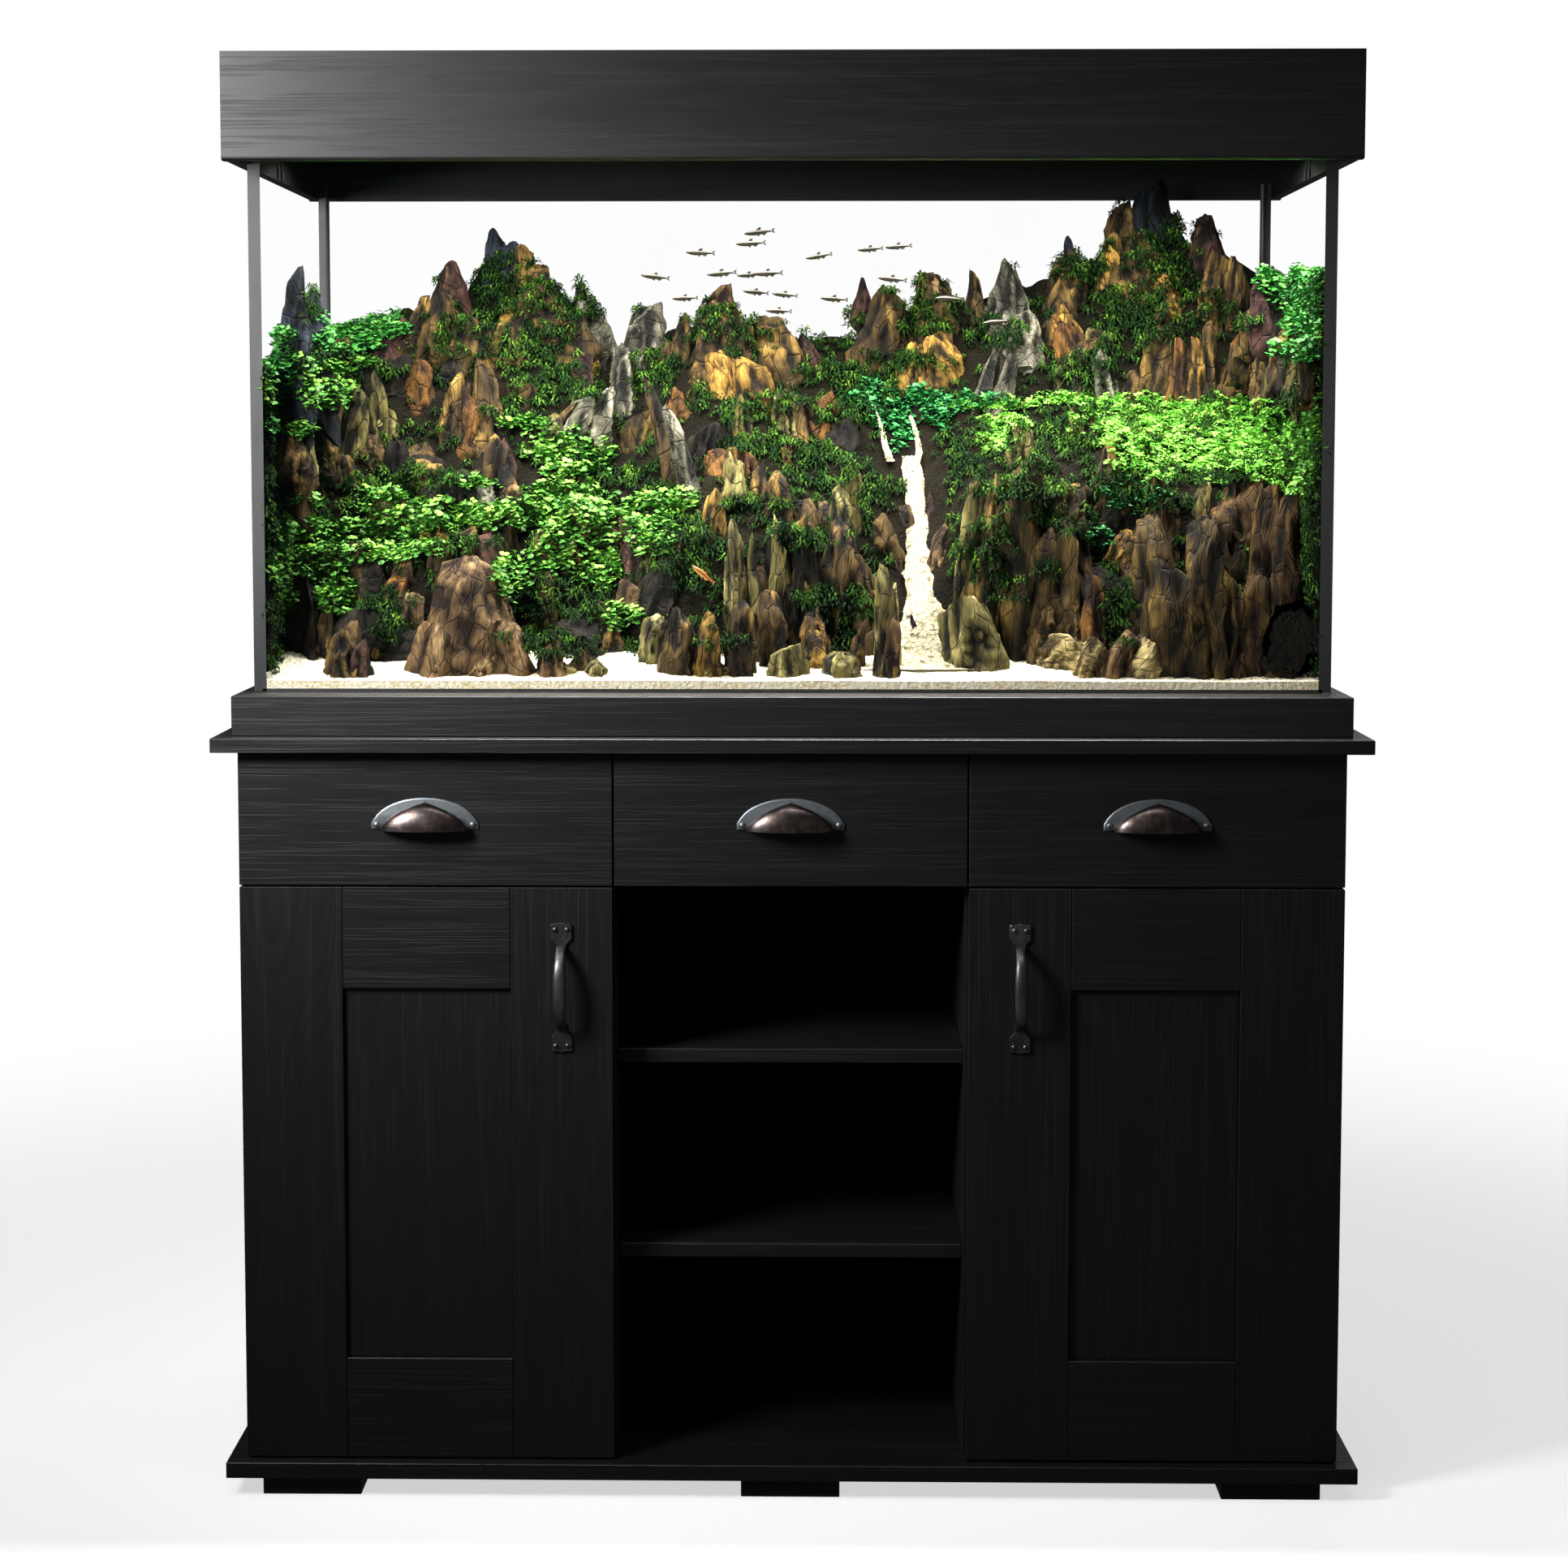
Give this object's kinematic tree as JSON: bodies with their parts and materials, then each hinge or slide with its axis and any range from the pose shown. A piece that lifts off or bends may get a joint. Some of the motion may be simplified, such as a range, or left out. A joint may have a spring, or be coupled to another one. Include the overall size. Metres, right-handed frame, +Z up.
{
  "type": "aquarium on stand",
  "caption": "Rectangular glass aquarium with planted rockwork under a boarded hood, on a black woodgrain cabinet with drawers, framed doors and an open shelf bay.",
  "frame": {"origin": "on the floor, under the middle of the object's box", "axes": "+Z up, -Y out of the front with the doors and drawers, +X to the right of a person facing the front"},
  "size_m": [1.29, 0.57, 1.624],
  "materials": {
    "black_ash": "satin",
    "hardboard": "matte",
    "glass": "polished",
    "sand": "matte",
    "rock": "matte",
    "zinc": "satin",
    "bronze": "satin",
    "pewter": "satin",
    "lamp": "satin"
  },
  "bodies": {
    "stand": {"bearer_left": "black_ash", "bearer_middle": "black_ash", "bearer_right": "black_ash", "base_board": "black_ash", "side_panel_left": "black_ash", "side_panel_right": "black_ash", "divider_left": "black_ash", "divider_right": "black_ash", "back_panel": "hardboard", "table_top": "black_ash", "shelf_upper": "black_ash", "shelf_lower": "black_ash", "plinth_front": "black_ash", "plinth_left": "black_ash", "plinth_right": "black_ash", "plinth_deck": "black_ash", "glass_front": "glass", "glass_back": "glass", "glass_left": "glass", "glass_right": "glass", "glass_bottom": "glass", "gravel_bed": "sand", "rock_mound": "rock", "runner_left_left": "zinc", "runner_left_right": "zinc", "runner_centre_left": "zinc", "runner_centre_right": "zinc", "runner_right_left": "zinc", "runner_right_right": "zinc", "hinge_arm_left_lower": "zinc", "hinge_arm_left_upper": "zinc", "hinge_arm_right_lower": "zinc", "hinge_arm_right_upper": "zinc", "hood_front": "black_ash", "hood_back": "black_ash", "hood_left": "black_ash", "hood_right": "black_ash", "light_bar": "lamp"},
    "lid": {"hood_lid": "black_ash"},
    "drawer_left": {"drawer_front_left": "black_ash", "drawer_box_left": "black_ash", "cup_pull_left": "bronze"},
    "drawer_centre": {"drawer_front_centre": "black_ash", "drawer_box_centre": "black_ash", "cup_pull_centre": "bronze"},
    "drawer_right": {"drawer_front_right": "black_ash", "drawer_box_right": "black_ash", "cup_pull_right": "bronze"},
    "door_left": {"door_left_hinge_stile": "black_ash", "door_left_lock_stile": "black_ash", "door_left_top_rail": "black_ash", "door_left_bottom_rail": "black_ash", "door_left_panel": "black_ash", "handle_left": "pewter"},
    "door_right": {"door_right_hinge_stile": "black_ash", "door_right_lock_stile": "black_ash", "door_right_top_rail": "black_ash", "door_right_bottom_rail": "black_ash", "door_right_panel": "black_ash", "handle_right": "pewter"}
  },
  "joints": [
    {"name": "drawer_left_slide", "type": "slide", "parent": "stand", "child": "drawer_left", "axis": [0, -1, 0], "range_m": [0, 0.3]},
    {"name": "drawer_centre_slide", "type": "slide", "parent": "stand", "child": "drawer_centre", "axis": [0, -1, 0], "range_m": [0, 0.3]},
    {"name": "drawer_right_slide", "type": "slide", "parent": "stand", "child": "drawer_right", "axis": [0, -1, 0], "range_m": [0, 0.3]},
    {"name": "door_left_hinge", "type": "hinge", "parent": "stand", "child": "door_left", "pos_m": [-0.6185, -0.236, 0.37], "axis": [0, 0, -1], "range_deg": [0, 105]},
    {"name": "door_right_hinge", "type": "hinge", "parent": "stand", "child": "door_right", "pos_m": [0.6185, -0.236, 0.37], "axis": [0, 0, 1], "range_deg": [0, 105]},
    {"name": "hood_lid_hinge", "type": "hinge", "parent": "stand", "child": "lid", "pos_m": [0, 0.2675, 1.624], "axis": [-1, 0, 0], "range_deg": [0, 95]}
  ]
}
